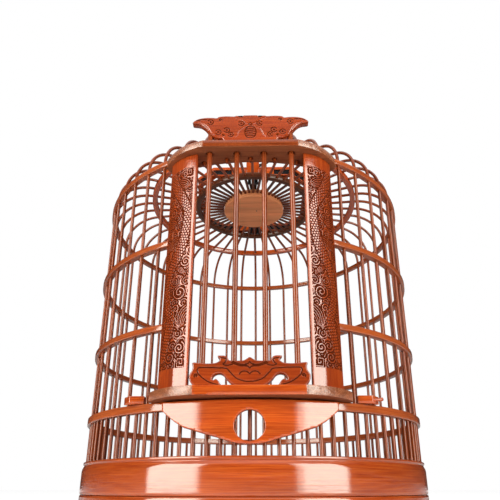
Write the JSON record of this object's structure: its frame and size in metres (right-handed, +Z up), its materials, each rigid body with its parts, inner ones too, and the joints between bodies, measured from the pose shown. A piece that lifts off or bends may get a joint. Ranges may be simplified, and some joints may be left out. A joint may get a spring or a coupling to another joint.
{
  "type": "bird cage",
  "caption": "Round hanging bird cage of lacquered bamboo bars and hoops, with a lifting gate, a pull-out tray and a swivelling hook.",
  "frame": {"origin": "middle of the footprint on the surface that the cage stands on; the cage's own axis is 7.9 mm behind it", "axes": "+Z up along the cage's axis; -Y towards the gate; +X to the right seen from the gate"},
  "size_m": [0.3408, 0.3558, 0.4898],
  "materials": {
    "lacquered_bamboo": "glossy reddish-orange lacquer",
    "bar_bamboo": "glossy reddish-brown lacquer",
    "shaded_bamboo": "brown lacquer",
    "disc_wood": "matte oiled wood",
    "tray_wood": "matte wood",
    "black_lacquer": "black gloss",
    "dark_metal": "dark, satin"
  },
  "bodies": {
    "cage": {"apron": "lacquered_bamboo", "base_band": "lacquered_bamboo", "block_left": "lacquered_bamboo", "block_right": "lacquered_bamboo", "crown_inlay": "black_lacquer", "crown_wall": "lacquered_bamboo", "floor_slats": "bar_bamboo", "foot_hoop_rear": "lacquered_bamboo", "front_short_bars": "bar_bamboo", "hook_claw": "dark_metal", "lintel_board": "lacquered_bamboo", "lower_hoop": "lacquered_bamboo", "post_left": "lacquered_bamboo", "post_right": "lacquered_bamboo", "roof_hoop_inner": "shaded_bamboo", "roof_hoop_outer": "lacquered_bamboo", "shoulder_hoop": "lacquered_bamboo", "sill_board": "lacquered_bamboo", "top_disc": "disc_wood", "tray_crossbar_front": "lacquered_bamboo", "tray_crossbar_rear": "lacquered_bamboo", "tray_rail_left": "lacquered_bamboo", "tray_rail_right": "lacquered_bamboo", "upper_front_bar_1": "bar_bamboo", "upper_front_bar_2": "bar_bamboo", "upper_front_bar_3": "bar_bamboo", "upper_front_bar_4": "bar_bamboo", "upper_front_bar_5": "bar_bamboo", "upper_front_bar_6": "bar_bamboo", "upper_front_bar_7": "bar_bamboo", "wall_bars_01": "bar_bamboo", "wall_bars_02": "bar_bamboo", "wall_bars_03": "bar_bamboo", "wall_bars_04": "bar_bamboo", "wall_bars_05": "bar_bamboo", "wall_bars_06": "bar_bamboo", "wall_bars_07": "bar_bamboo", "wall_bars_08": "bar_bamboo", "wall_bars_09": "bar_bamboo", "wall_bars_10": "bar_bamboo", "wall_hoop_high": "lacquered_bamboo", "wall_hoop_low": "lacquered_bamboo"},
    "gate": {"gate_bar_1": "bar_bamboo", "gate_bar_2": "bar_bamboo", "gate_bar_3": "bar_bamboo", "gate_bar_4": "bar_bamboo", "gate_bottom_plate": "lacquered_bamboo", "gate_butterfly_plate": "lacquered_bamboo"},
    "tray": {"tray_board": "tray_wood", "tray_front_hoop": "lacquered_bamboo", "tray_knob": "lacquered_bamboo"},
    "hook": {"hook": "dark_metal", "hook_nut": "dark_metal"}
  },
  "joints": [
    {"name": "gate_slide", "type": "slide", "parent": "cage", "child": "gate", "axis": [0, 0, 1], "range_m": [0, 0.18]},
    {"name": "tray_slide", "type": "slide", "parent": "cage", "child": "tray", "axis": [0, -1, 0], "range_m": [0, 0.19]},
    {"name": "hook_swivel", "type": "hinge", "parent": "cage", "child": "hook", "pos_m": [0, 0.00788, 0.391], "axis": [0, 0, 1], "continuous": true}
  ]
}
